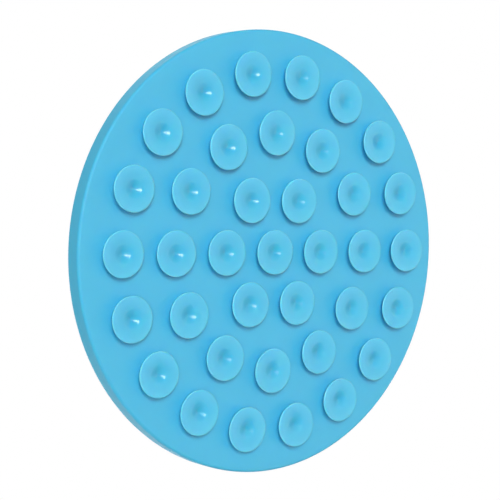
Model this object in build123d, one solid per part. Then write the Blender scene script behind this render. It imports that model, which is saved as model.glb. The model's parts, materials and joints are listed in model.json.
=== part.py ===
from build123d import *
import math
import os

# A round silicone lick mat, lying as it is used: suction cups down, lick side up.
# Millimetres. The origin is on the mat's axis, in the plane of the suction cups' lips.
# The mat is one moulding. Here each part of it that has its own job, or moves by itself,
# is its own solid, and the solids meet face to face.

# Sheet and rim
MAT_DIAMETER = 150.0
BASE_THICKNESS = 2.9
RIM_HEIGHT = 3.8
RIM_WIDTH = 3.2
RIM_FOOT = 1.2            # how far the rim's sloped foot runs in over the sheet
EDGE_RADIUS = 1.0         # rounding of the sheet's back edge and the rim's outer edge
RIM_CREST_RADIUS = 0.8    # rounding of the rim's inner top edge

# Suction cups
CUP_DIAMETER = 15.1
CUP_EDGE_MARGIN = 7.15    # from the outer ring's lips to the sheet's edge
LIP_THICKNESS = 0.5
LIP_LAND = 0.4            # flat ring that seals against the surface
HOLLOW_DEPTH = 1.5
TIP_RADIUS = 0.55         # how far the hollow's blunt tip reaches from its middle
FLANK_RADIUS = 2.7        # distance from the axis where the hollow is steepest
FLARE_RUN = 1.0           # from there out to where the steep flank's line meets the shallow flange's
LIP_SLOPE = 5.2           # degrees between the hollow and the lip plane, at the lip
WEB_THICKNESS = 0.6       # silicone over the deepest point of the hollow
NECK_DIAMETER = 7.0
NECK_FLARE = 0.8          # how much wider the neck's radius is where it meets the sheet
NECK_LENGTH = 1.2

# Lick side: four quarters between four dividers, each filled with another texture
LICK_RIM_GAP = 1.5        # least gap from the lick pattern to the rim's foot
LICK_GAP = 3.2            # least gap between neighbours in the lick pattern
HUB_DIAMETER = 9.0
DIVIDER_WIDTH = 3.0
NUB_DIAMETER = 4.2
DOME_DIAMETER = 8.0
BAR_LENGTH = 10.6
BAR_WIDTH = 2.6
LICK_HEIGHT = 2.8         # from the sheet to the top of every piece of the lick pattern
CREST_RADIUS = 0.9        # rounding of their top edges
DRAFT = 8.0               # degrees that the walls of nubs, domes and the hub lean in

# Patterns
CUP_RINGS = ["inner", "middle", "outer"]
CUPS_PER_RING = 6         # each ring has this many more cups than the ring inside it
QUARTER = 90.0            # degrees from one divider to the next

# Levels above the lip plane
DISH_TOP = HOLLOW_DEPTH + WEB_THICKNESS
BACK_LEVEL = DISH_TOP + NECK_LENGTH
FLOOR_LEVEL = BACK_LEVEL + BASE_THICKNESS
RIM_LEVEL = FLOOR_LEVEL + RIM_HEIGHT

MAT_RADIUS = MAT_DIAMETER / 2
CUP_RADIUS = CUP_DIAMETER / 2
NECK_RADIUS = NECK_DIAMETER / 2
CUP_PITCH = (MAT_RADIUS - CUP_EDGE_MARGIN - CUP_RADIUS) / len(CUP_RINGS)
LICK_RADIUS = MAT_RADIUS - RIM_WIDTH - RIM_FOOT - LICK_RIM_GAP
HUB_RADIUS = HUB_DIAMETER / 2


def turned(outline):
    """The solid that a closed outline in the XZ plane sweeps out about the mat's axis."""
    return revolve(make_face(outline), axis=Axis.Z)


def section(*points):
    """Straight runs through (radius, level) points."""
    return Polyline(*[(radius, 0, level) for radius, level in points])


def ring_places(count, radius):
    """Places spread evenly round a ring, each facing along the ring's radius, the first on +X."""
    return PolarLocations(radius, count).locations


def mat_base():
    """The sheet, with its back edge rounded."""
    sheet = Cylinder(MAT_RADIUS, BASE_THICKNESS, align=(Align.CENTER, Align.CENTER, Align.MIN))
    sheet = Pos(0, 0, BACK_LEVEL) * sheet
    return fillet(sheet.edges().group_by(Axis.Z)[0], EDGE_RADIUS)


def outer_rim():
    """The wall round the lick side: upright outside, with a sloped foot inside."""
    wall_inside = MAT_RADIUS - RIM_WIDTH
    crest_start = (MAT_RADIUS - EDGE_RADIUS, 0, RIM_LEVEL)
    crest_end = (wall_inside + RIM_CREST_RADIUS, 0, RIM_LEVEL)
    inside_top = (wall_inside, 0, RIM_LEVEL - RIM_CREST_RADIUS)
    inside_foot = (wall_inside, 0, FLOOR_LEVEL + RIM_FOOT)
    foot = (wall_inside - RIM_FOOT, 0, FLOOR_LEVEL)
    outside_foot = (MAT_RADIUS, 0, FLOOR_LEVEL)
    outside_top = (MAT_RADIUS, 0, RIM_LEVEL - EDGE_RADIUS)
    outline = [
        Line(outside_foot, outside_top),
        TangentArc(outside_top, crest_start, tangent=(0, 0, 1)),
        Line(crest_start, crest_end),
        TangentArc(crest_end, inside_top, tangent=(-1, 0, 0)),
        Line(inside_top, inside_foot),
        Line(inside_foot, foot),
        Line(foot, outside_foot),
    ]
    return turned(outline)


def cup_dish():
    """A suction cup without its neck: a hollow like a funnel, a flat lip and a tapered wall."""
    lip_inside = CUP_RADIUS - LIP_LAND
    flare_radius = FLANK_RADIUS + FLARE_RUN
    flare_level = (lip_inside - flare_radius) * math.tan(math.radians(LIP_SLOPE))
    steepness = (HOLLOW_DEPTH - flare_level) / (flare_radius - TIP_RADIUS)
    flank = (FLANK_RADIUS, 0, flare_level + FLARE_RUN * steepness)
    funnel = Bezier((0, 0, HOLLOW_DEPTH), (TIP_RADIUS, 0, HOLLOW_DEPTH), flank)
    flange = Bezier(flank, (flare_radius, 0, flare_level), (lip_inside, 0, 0))
    wall = section(
        (lip_inside, 0),
        (CUP_RADIUS, 0),
        (CUP_RADIUS, LIP_THICKNESS),
        (NECK_RADIUS, DISH_TOP),
        (0, DISH_TOP),
        (0, HOLLOW_DEPTH),
    )
    return turned([funnel, flange, wall])


def cup_neck():
    """The stem that carries a cup, widening towards the sheet."""
    root_radius = NECK_RADIUS + NECK_FLARE
    flare = TangentArc((NECK_RADIUS, 0, DISH_TOP), (root_radius, 0, BACK_LEVEL), tangent=(0, 0, 1))
    rest = section((root_radius, BACK_LEVEL), (0, BACK_LEVEL), (0, DISH_TOP), (NECK_RADIUS, DISH_TOP))
    return turned([flare, rest])


def lick_button(diameter):
    """A round piece of the lick pattern that leans in and has a rounded top: a nub, dome or hub."""
    lean = LICK_HEIGHT * math.tan(math.radians(DRAFT))
    on_floor = (Align.CENTER, Align.CENTER, Align.MIN)
    button = Cone(diameter / 2, diameter / 2 - lean, LICK_HEIGHT, align=on_floor)
    button = fillet(button.edges().group_by(Axis.Z)[-1], CREST_RADIUS)
    return Pos(0, 0, FLOOR_LEVEL) * button


def lick_bar(length, width):
    """A straight bar along X with round ends and a round crest."""
    bar = extrude(SlotOverall(length, width), LICK_HEIGHT)
    bar = fillet(bar.edges().group_by(Axis.Z)[-1], CREST_RADIUS)
    return Pos(0, 0, FLOOR_LEVEL) * bar


def lick_divider():
    """The bar that runs from near the hub towards the rim, along +X."""
    start = HUB_RADIUS + LICK_GAP
    return Pos((start + LICK_RADIUS) / 2, 0, 0) * lick_bar(LICK_RADIUS - start, DIVIDER_WIDTH)


def quarter_places(quarter, along, across):
    """Places that fill one quarter with rings of pieces, from the rim inwards.

    along and across are a piece's sizes along the ring's radius and across it.
    """
    margin = DIVIDER_WIDTH / 2 + LICK_GAP + across / 2
    places = []
    radius = LICK_RADIUS - along / 2
    while radius > margin * math.sqrt(2) and radius - along / 2 > HUB_RADIUS + LICK_GAP:
        from_divider = math.degrees(math.asin(margin / radius))
        free_angle = QUARTER - 2 * from_divider
        steps = int(math.radians(free_angle) * radius // (across + LICK_GAP))
        for step in range(steps + 1):
            share = step / steps if steps else 0.5
            angle = QUARTER * quarter + from_divider + free_angle * share
            places.append(Rot(0, 0, angle) * Pos(radius, 0, 0))
        radius -= along + LICK_GAP
    return places


def copies(solid, places):
    """One compound with a copy of the solid at each place."""
    return Compound(children=[place * solid for place in places])


def lick_nodes():
    """The lick side: hub, dividers and the textures of the four quarters, each with its name."""
    nub = lick_button(NUB_DIAMETER)
    dome = lick_button(DOME_DIAMETER)
    bar = lick_bar(BAR_LENGTH, BAR_WIDTH)
    dash = Rot(0, 0, 90) * bar
    nodes = {
        "lick_hub": lick_button(HUB_DIAMETER),
        "lick_nubs": copies(nub, quarter_places(0, NUB_DIAMETER, NUB_DIAMETER)),
        "lick_dashes": copies(dash, quarter_places(1, BAR_WIDTH, BAR_LENGTH)),
        "lick_domes": copies(dome, quarter_places(2, DOME_DIAMETER, DOME_DIAMETER)),
        "lick_bars": copies(bar, quarter_places(3, BAR_LENGTH, BAR_WIDTH)),
    }
    for quarter in range(4):
        nodes[f"lick_divider_{quarter + 1}"] = Rot(0, 0, QUARTER * quarter) * lick_divider()
    return nodes


def all_nodes():
    """Every node's name and shape."""
    nodes = {"mat_base": mat_base(), "outer_rim": outer_rim()}
    nodes.update(lick_nodes())
    dish = cup_dish()
    neck = cup_neck()
    nodes["cup_centre"] = dish
    nodes["cup_neck_centre"] = neck
    for ring, name in enumerate(CUP_RINGS, start=1):
        places = ring_places(CUPS_PER_RING * ring, ring * CUP_PITCH)
        nodes[f"cup_necks_{name}"] = copies(neck, places)
        for number, place in enumerate(places, start=1):
            nodes[f"cup_{name}_{number}"] = place * dish
    return nodes


os.makedirs("parts", exist_ok=True)
for node_name, node_shape in all_nodes().items():
    export_step(node_shape, f"parts/{node_name}.step")
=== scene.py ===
import json
import math
import random

import bmesh
import bpy
from mathutils import Matrix, Vector, noise

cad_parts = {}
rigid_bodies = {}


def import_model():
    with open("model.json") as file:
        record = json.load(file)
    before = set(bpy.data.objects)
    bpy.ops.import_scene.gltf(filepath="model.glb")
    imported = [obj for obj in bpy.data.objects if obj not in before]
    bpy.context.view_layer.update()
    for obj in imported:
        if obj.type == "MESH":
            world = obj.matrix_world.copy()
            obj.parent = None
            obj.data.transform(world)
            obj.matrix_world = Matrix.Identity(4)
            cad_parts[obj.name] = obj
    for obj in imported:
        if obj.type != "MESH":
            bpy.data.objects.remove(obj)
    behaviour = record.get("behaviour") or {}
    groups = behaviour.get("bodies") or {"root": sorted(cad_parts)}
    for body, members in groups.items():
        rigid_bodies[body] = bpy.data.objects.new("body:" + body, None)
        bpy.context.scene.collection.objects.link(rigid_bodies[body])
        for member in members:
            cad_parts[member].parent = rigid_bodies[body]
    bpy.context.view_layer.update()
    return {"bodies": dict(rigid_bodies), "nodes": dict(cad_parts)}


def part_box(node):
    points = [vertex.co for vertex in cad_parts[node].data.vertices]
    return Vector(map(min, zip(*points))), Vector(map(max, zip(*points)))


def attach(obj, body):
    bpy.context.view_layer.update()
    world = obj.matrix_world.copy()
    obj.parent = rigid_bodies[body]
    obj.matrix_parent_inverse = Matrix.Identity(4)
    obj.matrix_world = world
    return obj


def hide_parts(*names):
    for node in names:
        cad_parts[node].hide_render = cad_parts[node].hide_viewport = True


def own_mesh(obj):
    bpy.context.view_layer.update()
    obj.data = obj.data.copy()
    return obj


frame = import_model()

# A blue silicone lick mat that lies cups down. Metres, in the frame of the CAD model.
MM = 0.001
random.seed(37)

# Levels and radii that the frame gives
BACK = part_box("mat_base")[0].z
SHEET_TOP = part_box("mat_base")[1].z
RIM_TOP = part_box("outer_rim")[1].z
LICK_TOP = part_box("lick_hub")[1].z
MAT_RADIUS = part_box("mat_base")[1].x
CUP_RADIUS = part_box("cup_centre")[1].x

# Vertices nearer than this become one
PIECE_WELD = 1e-7          # in a piece that is made here
NODE_WELD = 1e-6           # in a node of the frame

# Sheet and rim
EDGE_RADIUS = 1.0 * MM
RIM_WIDTH = 3.2 * MM
RIM_CREST = 0.8 * MM
RIM_COVE = 1.2 * MM
MAT_SEGMENTS = 288
BACK_STEPS = 40
EDGE_STEPS = 10
WALL_STEPS = 12
TRAY_STEPS = 30

# Suction cups
LIP_THICKNESS = 0.5 * MM
LIP_LAND = 0.4 * MM
HOLLOW_DEPTH = 1.5 * MM
TIP_RADIUS = 0.55 * MM
FLANK_RADIUS = 2.7 * MM
FLARE_RADIUS = 3.7 * MM
LIP_SLOPE = math.radians(5.2)
NECK_RADIUS = 3.5 * MM
NECK_FLARE = 0.8 * MM
SHOULDER_LEVEL = 0.56 * BACK           # the first of two corners that shape the dish's back
SLOPE_LEVEL = 0.42 * BACK              # the second
SLOPE_RADIUS = 1.45 * NECK_RADIUS
ROOT_DEPTH = 0.3 * MM      # how far a neck or a lick piece runs on inside the sheet
CUP_SEGMENTS = 96
NECK_STEPS = 8
DISH_STEPS = 16
BEAD_STEPS = 10
LAND_STEPS = 2
FLANGE_STEPS = 24
FUNNEL_STEPS = 20

# Unevenness of a moulded lip
LIP_WAVE = 0.05 * MM       # its greatest height
WAVE_START = 0.5 * CUP_RADIUS
NOISE_REACH = 1.3          # radius of the circle on which a lip reads the noise
NOISE_SPAN = 90            # each lip reads it at another place within this

# Paint of a cup: painted light, a little on the thin wall and more on the lip's edge, for their sheen and
# the light through thin silicone; and painted shade in a core over the neck
WALL_START = 0.45 * CUP_RADIUS
WALL_SHARE = 0.2
LIP_START = CUP_RADIUS - 0.9 * LIP_LAND
LIP_END = CUP_RADIUS - 0.1 * LIP_LAND
LIP_SHARE = 0.8
CORE_SHADE_START = 0.08 * CUP_RADIUS         # from here the core's painted shade fades
CORE_SHADE_END = 0.42 * CUP_RADIUS
HOLLOW_LIMIT = 1.05 * HOLLOW_DEPTH     # what faces down below this level is the hollow

# Lick side
ROOT_FILLET = 0.5 * MM
CREST_RADIUS = 0.9 * MM
DRAFT = math.radians(8.0)
NUB_RADIUS = 2.1 * MM
DOME_RADIUS = 4.0 * MM
BAR_WIDTH = 2.6 * MM
BAR_LENGTH = 10.6 * MM
DIVIDER_WIDTH = 3.0 * MM
DIVIDERS = 4
ROUND_STEPS = 20
FILLET_STEPS = 5
LEAN_STEPS = 3
CREST_STEPS = 7

# Silicone
CLOUD = {"Scale": 45.0, "Detail": 3.0, "Roughness": 0.55}     # faint, in the colour
GRAIN = {"Scale": 1400.0, "Detail": 2.0}                      # fine, on the skin
GRAIN_BUMP = {"Strength": 0.06, "Distance": 0.1 * MM}
SCATTER_REACH = (0.25, 0.7, 1.0)       # of red, green and blue light, against each other
SILICONE_IOR = 1.42
CUP_ROUGHNESS = 0.36
HOLLOW_ROUGHNESS = 0.165
CUP_COLOUR = (0.075, 0.518, 0.755)
# Painted light on the lips and thin walls, for their sheen and the light through thin silicone
PAINTED_LIP_LIGHT_COLOUR = (0.19, 0.68, 0.87)
PAINTED_CORE_SHADE_SHARES = (0.68, 0.90, 0.935)      # painted shade in the core: what it keeps of the cup's red, green and blue

# Camera: below the lip plane, with the photo's top towards -Y. Lens and sensor are in millimetres.
CAMERA_PLACE = Vector((-308.4, -20.5, -393.8)) * MM
CAMERA_AIM = Vector((-10.9, -0.9, 0.0)) * MM
CAMERA_UP = Vector((0.0100, -0.9991, 0.0423))
CAMERA_LENS = 106.75
CAMERA_SENSOR = 36.0
CAMERA_NEAR = 0.01
CAMERA_FAR = 20.0

# Studio: an even light, and a floor that is pale round the mat and fades to white between two distances
WHITE = (1, 1, 1, 1)
EVEN_LIGHT = 0.27
FLOOR_COLOUR = (0.90, 0.90, 0.90, 1)
FLOOR_REACH = 4.0
FLOOR_LEVEL = -0.1 * MM    # just under the lips
FADE_START = 0.11
FADE_END = 0.44


def arc(centre, radius, start, end, steps):
    """Points (radius, level) on an arc between two angles in degrees."""
    points = []
    for step in range(steps + 1):
        angle = math.radians(start + (end - start) * step / steps)
        points.append((centre[0] + radius * math.cos(angle), centre[1] + radius * math.sin(angle)))
    return points


def curve(corners, steps):
    """Points on a smooth curve from the first corner to the last, drawn towards those between."""
    degree = len(corners) - 1
    points = []
    for step in range(steps + 1):
        t = step / steps
        weights = [math.comb(degree, k) * (1 - t) ** (degree - k) * t ** k for k in range(degree + 1)]
        points.append(tuple(sum(w * c[i] for w, c in zip(weights, corners)) for i in range(2)))
    return points


def run(start, end, steps):
    """Points along a straight run, without its first point."""
    shares = [(step + 1) / steps for step in range(steps)]
    return [tuple(s + (e - s) * share for s, e in zip(start, end)) for share in shares]


def grid_mesh(rings, first_pole, last_pole):
    """Vertices and faces of closed rings joined in order, with a pole at either end."""
    count = len(rings[0])
    vertices = [point for ring in rings for point in ring]
    faces = []
    for ring in range(len(rings) - 1):
        low = ring * count
        high = low + count
        for i in range(count):
            j = (i + 1) % count
            faces.append((low + i, low + j, high + j, high + i))
    for pole, ring in ((first_pole, 0), (last_pole, len(rings) - 1)):
        vertices.append(pole)
        top = len(vertices) - 1
        faces += [(ring * count + i, ring * count + (i + 1) % count, top) for i in range(count)]
    return vertices, faces


def turned(profile, segments):
    """The closed surface that a profile sweeps about Z: its first and last points are on the axis."""
    rings = []
    for radius, level in profile[1:-1]:
        ring = []
        for i in range(segments):
            angle = 2 * math.pi * i / segments
            ring.append((radius * math.cos(angle), radius * math.sin(angle), level))
        rings.append(ring)
    return grid_mesh(rings, (0, 0, profile[0][1]), (0, 0, profile[-1][1]))


def mound(straight, profile):
    """A closed form with round ends: each (radius, level) of the profile is a ring about a line along X."""
    rings = []
    for radius, level in profile:
        ring = []
        for side, turn in ((1, -90), (-1, 90)):
            for step in range(ROUND_STEPS + 1):
                angle = math.radians(turn + 180 * step / ROUND_STEPS)
                x = side * straight / 2 + radius * math.cos(angle)
                ring.append((x, radius * math.sin(angle), level))
        rings.append(ring)
    return grid_mesh(rings, (0, 0, profile[0][1]), (0, 0, profile[-1][1]))


def piece(name, vertices, faces, material, body, slot, *nodes):
    """A smooth closed mesh that rides on a body and stands for CAD nodes."""
    mesh = bpy.data.meshes.new(name)
    mesh.from_pydata(vertices, [], faces)
    sheet = bmesh.new()
    sheet.from_mesh(mesh)
    bmesh.ops.remove_doubles(sheet, verts=sheet.verts, dist=PIECE_WELD)
    bmesh.ops.recalc_face_normals(sheet, faces=sheet.faces)
    sheet.to_mesh(mesh)
    sheet.free()
    mesh.shade_smooth()
    made = bpy.data.objects.new(name, mesh)
    bpy.context.scene.collection.objects.link(made)
    mesh.materials.append(material)
    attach(made, body)
    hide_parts(*nodes)
    return made


def node(tree, kind, inputs=None, **settings):
    """A shader node with settings and input values."""
    made = tree.nodes.new(kind)
    for name, value in settings.items():
        setattr(made, name, value)
    for name, value in (inputs or {}).items():
        made.inputs[name].default_value = value
    return made


def silicone(name, deep, pale, roughness, specular, scatter, depth):
    """Silicone: a clouded colour, soft scatter and a satin skin with a fine grain."""
    material = bpy.data.materials.new(name)
    material.use_nodes = True
    tree = material.node_tree
    link = tree.links.new
    shader = tree.nodes["Principled BSDF"]
    place = node(tree, "ShaderNodeTexCoord").outputs["Object"]
    cloud = node(tree, "ShaderNodeTexNoise", CLOUD)
    link(place, cloud.inputs["Vector"])
    colour = node(tree, "ShaderNodeMix", data_type="RGBA")
    colour.inputs["A"].default_value = (*deep, 1)
    colour.inputs["B"].default_value = (*pale, 1)
    link(cloud.outputs["Fac"], colour.inputs["Factor"])
    link(colour.outputs["Result"], shader.inputs["Base Color"])
    grain = node(tree, "ShaderNodeTexNoise", GRAIN)
    link(place, grain.inputs["Vector"])
    bump = node(tree, "ShaderNodeBump", GRAIN_BUMP)
    link(grain.outputs["Fac"], bump.inputs["Height"])
    link(bump.outputs["Normal"], shader.inputs["Normal"])
    shader.inputs["Roughness"].default_value = roughness
    shader.inputs["Subsurface Weight"].default_value = scatter
    shader.inputs["Subsurface Radius"].default_value = SCATTER_REACH
    shader.inputs["Subsurface Scale"].default_value = depth
    shader.inputs["IOR"].default_value = SILICONE_IOR
    shader.inputs["Specular IOR Level"].default_value = specular
    return material


def tint(tree, paint, colour):
    """Lays a colour over a material's own, as far as the mesh carries a paint."""
    base = tree.nodes["Principled BSDF"].inputs["Base Color"]
    share = node(tree, "ShaderNodeAttribute", attribute_name=paint)
    mix = node(tree, "ShaderNodeMix", data_type="RGBA")
    mix.inputs["B"].default_value = (*colour, 1)
    tree.links.new(base.links[0].from_socket, mix.inputs["A"])
    tree.links.new(share.outputs["Fac"], mix.inputs["Factor"])
    tree.links.new(mix.outputs["Result"], base)


def finish_cup_silicone(material):
    """What a cup's paint does: painted light on the lips and thin walls, painted shade in a darker core,
    and a polished hollow.
    """
    tree = material.node_tree
    # painted highlight on the lips and thin walls
    tint(tree, "painted_lip_light", PAINTED_LIP_LIGHT_COLOUR)
    # painted shade in the hollow's core over the neck
    tint(tree, "core_shade", [share * value for share, value in zip(PAINTED_CORE_SHADE_SHARES, CUP_COLOUR)])
    hollow = node(tree, "ShaderNodeAttribute", attribute_name="hollow")
    satin = node(tree, "ShaderNodeMapRange", {"To Min": CUP_ROUGHNESS, "To Max": HOLLOW_ROUGHNESS})
    tree.links.new(hollow.outputs["Fac"], satin.inputs["Value"])
    tree.links.new(satin.outputs["Result"], tree.nodes["Principled BSDF"].inputs["Roughness"])


def mat_profile():
    """The mat's section from the middle of its back, round the edge and the rim, to the tray's middle."""
    inside = MAT_RADIUS - RIM_WIDTH
    flat_end = MAT_RADIUS - EDGE_RADIUS
    tray_end = inside - RIM_COVE
    profile = [(0, BACK)] + run((0, BACK), (flat_end, BACK), BACK_STEPS)
    profile += arc((flat_end, BACK + EDGE_RADIUS), EDGE_RADIUS, -90, 0, EDGE_STEPS)[1:]
    profile += run(profile[-1], (MAT_RADIUS, RIM_TOP - EDGE_RADIUS), WALL_STEPS)
    profile += arc((flat_end, RIM_TOP - EDGE_RADIUS), EDGE_RADIUS, 0, 90, EDGE_STEPS)[1:]
    profile += arc((inside + RIM_CREST, RIM_TOP - RIM_CREST), RIM_CREST, 90, 180, EDGE_STEPS)
    profile += arc((tray_end, SHEET_TOP + RIM_COVE), RIM_COVE, 0, -90, EDGE_STEPS)
    return profile + run((tray_end, SHEET_TOP), (0, SHEET_TOP), TRAY_STEPS)


def cup_profile():
    """A cup's section from inside the sheet, down its neck and back, round the lip, to the hollow's tip."""
    bead = LIP_THICKNESS / 2
    root = NECK_RADIUS + NECK_FLARE
    lip_inside = CUP_RADIUS - LIP_LAND
    flare = (FLARE_RADIUS, (lip_inside - FLARE_RADIUS) * math.tan(LIP_SLOPE))
    share = (FLARE_RADIUS - FLANK_RADIUS) / (FLARE_RADIUS - TIP_RADIUS)
    flank = (FLANK_RADIUS, flare[1] + share * (HOLLOW_DEPTH - flare[1]))
    neck_foot = (NECK_RADIUS, BACK - NECK_FLARE)
    shoulder = (NECK_RADIUS, SHOULDER_LEVEL)
    slope = (SLOPE_RADIUS, SLOPE_LEVEL)
    lip_back = (CUP_RADIUS - bead, LIP_THICKNESS)
    profile = [(0, BACK + ROOT_DEPTH), (root, BACK + ROOT_DEPTH)]
    profile += arc((root, BACK - NECK_FLARE), NECK_FLARE, 90, 180, NECK_STEPS)
    profile += curve((neck_foot, shoulder, slope, lip_back), DISH_STEPS)[1:]
    profile += arc((CUP_RADIUS - bead, bead), bead, 90, -90, BEAD_STEPS)[1:]
    profile += run(profile[-1], (lip_inside, 0), LAND_STEPS)
    profile += curve(((lip_inside, 0), flare, flank), FLANGE_STEPS)[1:]
    return profile + curve((flank, (TIP_RADIUS, HOLLOW_DEPTH), (0, HOLLOW_DEPTH)), FUNNEL_STEPS)[1:]


def smooth_step(low, high, value):
    """0 below low, 1 above high, and a smooth ramp between."""
    share = min(1, max(0, (value - low) / (high - low)))
    return share * share * (3 - 2 * share)


def paint_cup(made, centre):
    """Marks, for the material, where light is painted on the thin silicone, where shade is painted in the
    core that the neck backs, and the hollow.
    """
    mesh = made.data
    painted_lip_light = mesh.attributes.new("painted_lip_light", "FLOAT", "POINT")
    hollow = mesh.attributes.new("hollow", "FLOAT", "POINT")
    core_shade = mesh.attributes.new("core_shade", "FLOAT", "POINT")
    for vertex in mesh.vertices:
        radius = math.hypot(vertex.co.x - centre.x, vertex.co.y - centre.y)
        wall = smooth_step(WALL_START, CUP_RADIUS, radius)
        lip = smooth_step(LIP_START, LIP_END, radius)
        # painted light: a little on the wall, most on the lip's edge
        painted_lip_light.data[vertex.index].value = WALL_SHARE * wall + LIP_SHARE * lip
        inside = vertex.normal.z < 0 and vertex.co.z < HOLLOW_LIMIT
        hollow.data[vertex.index].value = 1.0 if inside else 0.0
        # painted shade in the core, fading outwards
        core_shade.data[vertex.index].value = 1 - smooth_step(CORE_SHADE_START, CORE_SHADE_END, radius)


def make_cup(name, material):
    """A suction cup with its neck, on its own body. It flattens between the surface and the sheet."""
    low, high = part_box(name)
    centre = (low + high) / 2
    turn = random.uniform(0, 2 * math.pi)
    seed = Vector((random.uniform(0, NOISE_SPAN), random.uniform(0, NOISE_SPAN), 0))
    vertices, faces = turned(cup_profile(), CUP_SEGMENTS)
    placed = []
    for x, y, z in vertices:
        angle = math.atan2(y, x) + turn
        radius = math.hypot(x, y)
        share = smooth_step(WAVE_START, CUP_RADIUS, radius)
        spot = Vector((NOISE_REACH * math.cos(angle), NOISE_REACH * math.sin(angle), 0))
        level = z + LIP_WAVE * share * (1 + noise.noise(seed + spot)) / 2
        placed.append((centre.x + radius * math.cos(angle), centre.y + radius * math.sin(angle), level))
    made = piece("soft_" + name, placed, faces, material, name, "cup_silicone", name)
    paint_cup(made, centre)
    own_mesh(made)


def islands(name):
    """The middles of a node's separate solids, seen from above."""
    sheet = bmesh.new()
    sheet.from_mesh(frame["nodes"][name].data)
    bmesh.ops.remove_doubles(sheet, verts=sheet.verts, dist=NODE_WELD)
    seen = set()
    middles = []
    for first in sheet.verts:
        if first in seen:
            continue
        seen.add(first)
        members = [first]
        for vertex in members:  # the list grows on the way, until the solid has no more neighbours
            for edge in vertex.link_edges:
                other = edge.other_vert(vertex)
                if other not in seen:
                    seen.add(other)
                    members.append(other)
        xs = [v.co.x for v in members]
        ys = [v.co.y for v in members]
        middles.append(Vector(((min(xs) + max(xs)) / 2, (min(ys) + max(ys)) / 2, 0)))
    sheet.free()
    return middles


def mound_profile(half_width, draft):
    """The section of a lick piece: buried root, fillet, leaning wall and rounded crest."""
    top = half_width - (LICK_TOP - SHEET_TOP) * math.tan(draft)
    root = half_width + ROOT_FILLET
    crest = LICK_TOP - CREST_RADIUS
    profile = [(root, SHEET_TOP - ROOT_DEPTH)]
    profile += arc((root, SHEET_TOP + ROOT_FILLET), ROOT_FILLET, 270, 180, FILLET_STEPS)
    profile += run(profile[-1], (top, crest), LEAN_STEPS)
    profile += arc((top - CREST_RADIUS, crest), CREST_RADIUS, 0, 90, CREST_STEPS)[1:]
    return profile


def make_lick_piece(name, material, half_width, straight=0, draft=0, turn=0):
    """Every copy of one lick node, each turned to its place on the mat."""
    vertices, faces = mound(straight, mound_profile(half_width, draft))
    all_vertices = []
    all_faces = []
    for middle in islands(name):
        angle = math.atan2(middle.y, middle.x) + turn if middle.length > MM else 0
        place = Matrix.Translation(middle) @ Matrix.Rotation(angle, 4, "Z")
        start = len(all_vertices)
        all_vertices += [place @ Vector(vertex) for vertex in vertices]
        all_faces += [tuple(start + corner for corner in face) for face in faces]
    piece("soft_" + name, all_vertices, all_faces, material, "mat", "mat_silicone", name)


def make_mat(material):
    """The sheet and the rim as one skin. It also stands for the necks, which the cups' meshes show."""
    vertices, faces = turned(mat_profile(), MAT_SEGMENTS)
    nodes = ["mat_base", "outer_rim"]
    nodes += ["cup_neck_centre", "cup_necks_inner", "cup_necks_middle", "cup_necks_outer"]
    piece("soft_mat", vertices, faces, material, "mat", "mat_silicone", *nodes)


def make_lick_side(material):
    """Hub, dividers and the four textures."""
    low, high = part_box("lick_hub")
    make_lick_piece("lick_hub", material, (high.x - low.x) / 2, draft=DRAFT)
    make_lick_piece("lick_nubs", material, NUB_RADIUS, draft=DRAFT)
    make_lick_piece("lick_domes", material, DOME_RADIUS, draft=DRAFT)
    bar = BAR_LENGTH - BAR_WIDTH
    make_lick_piece("lick_bars", material, BAR_WIDTH / 2, straight=bar)
    make_lick_piece("lick_dashes", material, BAR_WIDTH / 2, straight=bar, turn=math.pi / 2)
    for number in range(1, DIVIDERS + 1):
        name = f"lick_divider_{number}"
        low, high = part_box(name)
        length = max(high.x - low.x, high.y - low.y)
        make_lick_piece(name, material, DIVIDER_WIDTH / 2, straight=length - DIVIDER_WIDTH)


def make_camera():
    """The photo's camera."""
    data = bpy.data.cameras.new("camera")
    data.lens = CAMERA_LENS
    data.sensor_width = CAMERA_SENSOR
    data.clip_start = CAMERA_NEAR
    data.clip_end = CAMERA_FAR
    camera = bpy.data.objects.new("camera", data)
    back = (CAMERA_PLACE - CAMERA_AIM).normalized()
    right = CAMERA_UP.cross(back).normalized()
    up = back.cross(right)
    turn = Matrix((right, up, back)).transposed().to_4x4()
    camera.matrix_world = Matrix.Translation(CAMERA_PLACE) @ turn
    bpy.context.scene.collection.objects.link(camera)
    bpy.context.scene.camera = camera


def softbox(name, towards, distance, width, height, power, roll=0.0, gloss_only=False):
    """An area lamp that stands in a direction from the mat, faces it and stays out of the picture."""
    data = bpy.data.lights.new(name, "AREA")
    data.shape = "RECTANGLE"
    data.size = width
    data.size_y = height
    data.energy = power
    lamp = bpy.data.objects.new(name, data)
    away = Vector(towards).normalized()
    side = Vector((0, 1, 0)).cross(away).normalized()
    turn = Matrix((side, away.cross(side), away)).transposed() @ Matrix.Rotation(roll, 3, "Z")
    lamp.matrix_world = Matrix.Translation(away * distance) @ turn.to_4x4()
    lamp.visible_camera = False
    lamp.visible_diffuse = not gloss_only
    bpy.context.scene.collection.objects.link(lamp)


def larger(tree, one, other):
    """The larger of two values, at most 1."""
    made = node(tree, "ShaderNodeMath", operation="MAXIMUM", use_clamp=True)
    tree.links.new(one, made.inputs[0])
    tree.links.new(other, made.inputs[1])
    return made.outputs[0]


def mixed(tree, share, one, other):
    """A shader that goes from one to the other as a share goes from 0 to 1."""
    made = node(tree, "ShaderNodeMixShader")
    tree.links.new(share, made.inputs[0])
    tree.links.new(one.outputs[0], made.inputs[1])
    tree.links.new(other.outputs[0], made.inputs[2])
    return made


def sees_white(tree, rays):
    """1 for a ray that shows the background: from the camera, or after a reflection or a pane of glass."""
    direct = larger(tree, rays.outputs["Is Camera Ray"], rays.outputs["Is Glossy Ray"])
    return larger(tree, direct, rays.outputs["Is Transmission Ray"])


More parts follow.
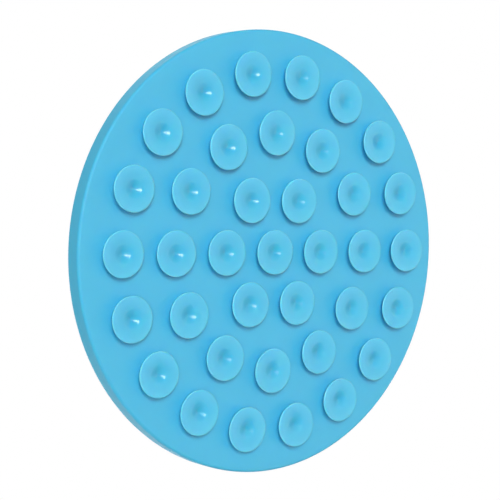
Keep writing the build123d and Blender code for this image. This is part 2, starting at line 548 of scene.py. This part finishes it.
def make_world():
    """White to the camera and to reflections, and an even grey light on everything."""
    world = bpy.data.worlds.new("studio")
    bpy.context.scene.world = world
    world.use_nodes = True
    tree = world.node_tree
    tree.nodes.clear()
    rays = node(tree, "ShaderNodeLightPath")
    light = node(tree, "ShaderNodeBackground", {"Color": WHITE, "Strength": EVEN_LIGHT})
    white = node(tree, "ShaderNodeBackground", {"Color": WHITE, "Strength": 1.0})
    out = node(tree, "ShaderNodeOutputWorld")
    mix = mixed(tree, sees_white(tree, rays), light, white)
    tree.links.new(mix.outputs[0], out.inputs["Surface"])


def make_floor():
    """A pale floor that fades into the white round it.

    From below it isn't there: a path that meets its back goes through it, and later through its front too.
    """
    near, far = -FLOOR_REACH, FLOOR_REACH
    corners = [(x, y, FLOOR_LEVEL) for x, y in ((near, near), (far, near), (far, far), (near, far))]
    mesh = bpy.data.meshes.new("floor")
    mesh.from_pydata(corners, [], [(0, 1, 2, 3)])
    floor = bpy.data.objects.new("floor", mesh)
    bpy.context.scene.collection.objects.link(floor)
    material = bpy.data.materials.new("floor")
    material.use_nodes = True
    tree = material.node_tree
    tree.nodes.clear()
    link = tree.links.new
    rays = node(tree, "ShaderNodeLightPath")
    place = node(tree, "ShaderNodeTexCoord")
    away = node(tree, "ShaderNodeVectorMath", operation="LENGTH")
    link(place.outputs["Object"], away.inputs[0])
    ends = {"From Min": FADE_START, "From Max": FADE_END}
    fade = node(tree, "ShaderNodeMapRange", ends, interpolation_type="SMOOTHSTEP")
    link(away.outputs["Value"], fade.inputs["Value"])
    share = node(tree, "ShaderNodeMath", operation="MULTIPLY")
    link(sees_white(tree, rays), share.inputs[0])
    link(fade.outputs["Result"], share.inputs[1])
    pale = node(tree, "ShaderNodeBsdfDiffuse", {"Color": FLOOR_COLOUR})
    white = node(tree, "ShaderNodeEmission", {"Color": WHITE, "Strength": 1.0})
    top = mixed(tree, share.outputs[0], pale, white)
    side = node(tree, "ShaderNodeNewGeometry")
    below = larger(tree, side.outputs["Backfacing"], rays.outputs["Transparent Depth"])
    clear = node(tree, "ShaderNodeBsdfTransparent")
    mix = mixed(tree, below, top, clear)
    out = node(tree, "ShaderNodeOutputMaterial")
    link(mix.outputs[0], out.inputs["Surface"])
    mesh.materials.append(material)


def make_lights():
    """Softboxes on the cups' side, which is below the mat, and over the lick side."""
    # Below: two that light the cups, and two that only show in their sheen and their glints
    softbox("key", (-0.44, -0.37, -0.82), distance=4.0, width=1.35, height=1.35, power=94.0)
    softbox("fill", (-0.60, -0.08, -0.80), distance=4.0, width=1.6, height=1.6, power=52.0)
    softbox("card", (0.66, 0.03, -0.75), distance=1.5, width=1.4, height=1.3, power=13.5, gloss_only=True)
    softbox("sparkle", (-0.088, -0.108, -0.990), distance=6.0, width=0.94, height=1.06, power=160.0,
            roll=0.12, gloss_only=True)
    # Above
    softbox("over", (0.20, 0.25, 0.95), distance=1.2, width=0.8, height=0.8, power=4.3)
    softbox("side", (0.85, 0.25, 0.45), distance=1.2, width=0.8, height=0.5, power=7.0)
    softbox("front", (0.28, -0.62, 0.73), distance=1.2, width=0.8, height=0.7, power=2.0)
    softbox("back", (-0.25, 0.85, 0.45), distance=1.2, width=0.8, height=0.5, power=3.2)


mat_silicone = silicone("mat_silicone", deep=(0.062, 0.475, 0.714), pale=(0.070, 0.504, 0.745),
                        roughness=0.55, specular=0.36, scatter=0.5, depth=1.0 * MM)
cup_silicone = silicone("cup_silicone", deep=CUP_COLOUR, pale=(0.080, 0.550, 0.785),
                        roughness=CUP_ROUGHNESS, specular=0.22, scatter=0.85, depth=1.7 * MM)
finish_cup_silicone(cup_silicone)
make_mat(mat_silicone)
make_lick_side(mat_silicone)
for body in frame["bodies"]:
    if body != "mat":
        make_cup(body, cup_silicone)
make_camera()
make_world()
make_floor()
make_lights()
bpy.context.scene.view_settings.view_transform = "Standard"
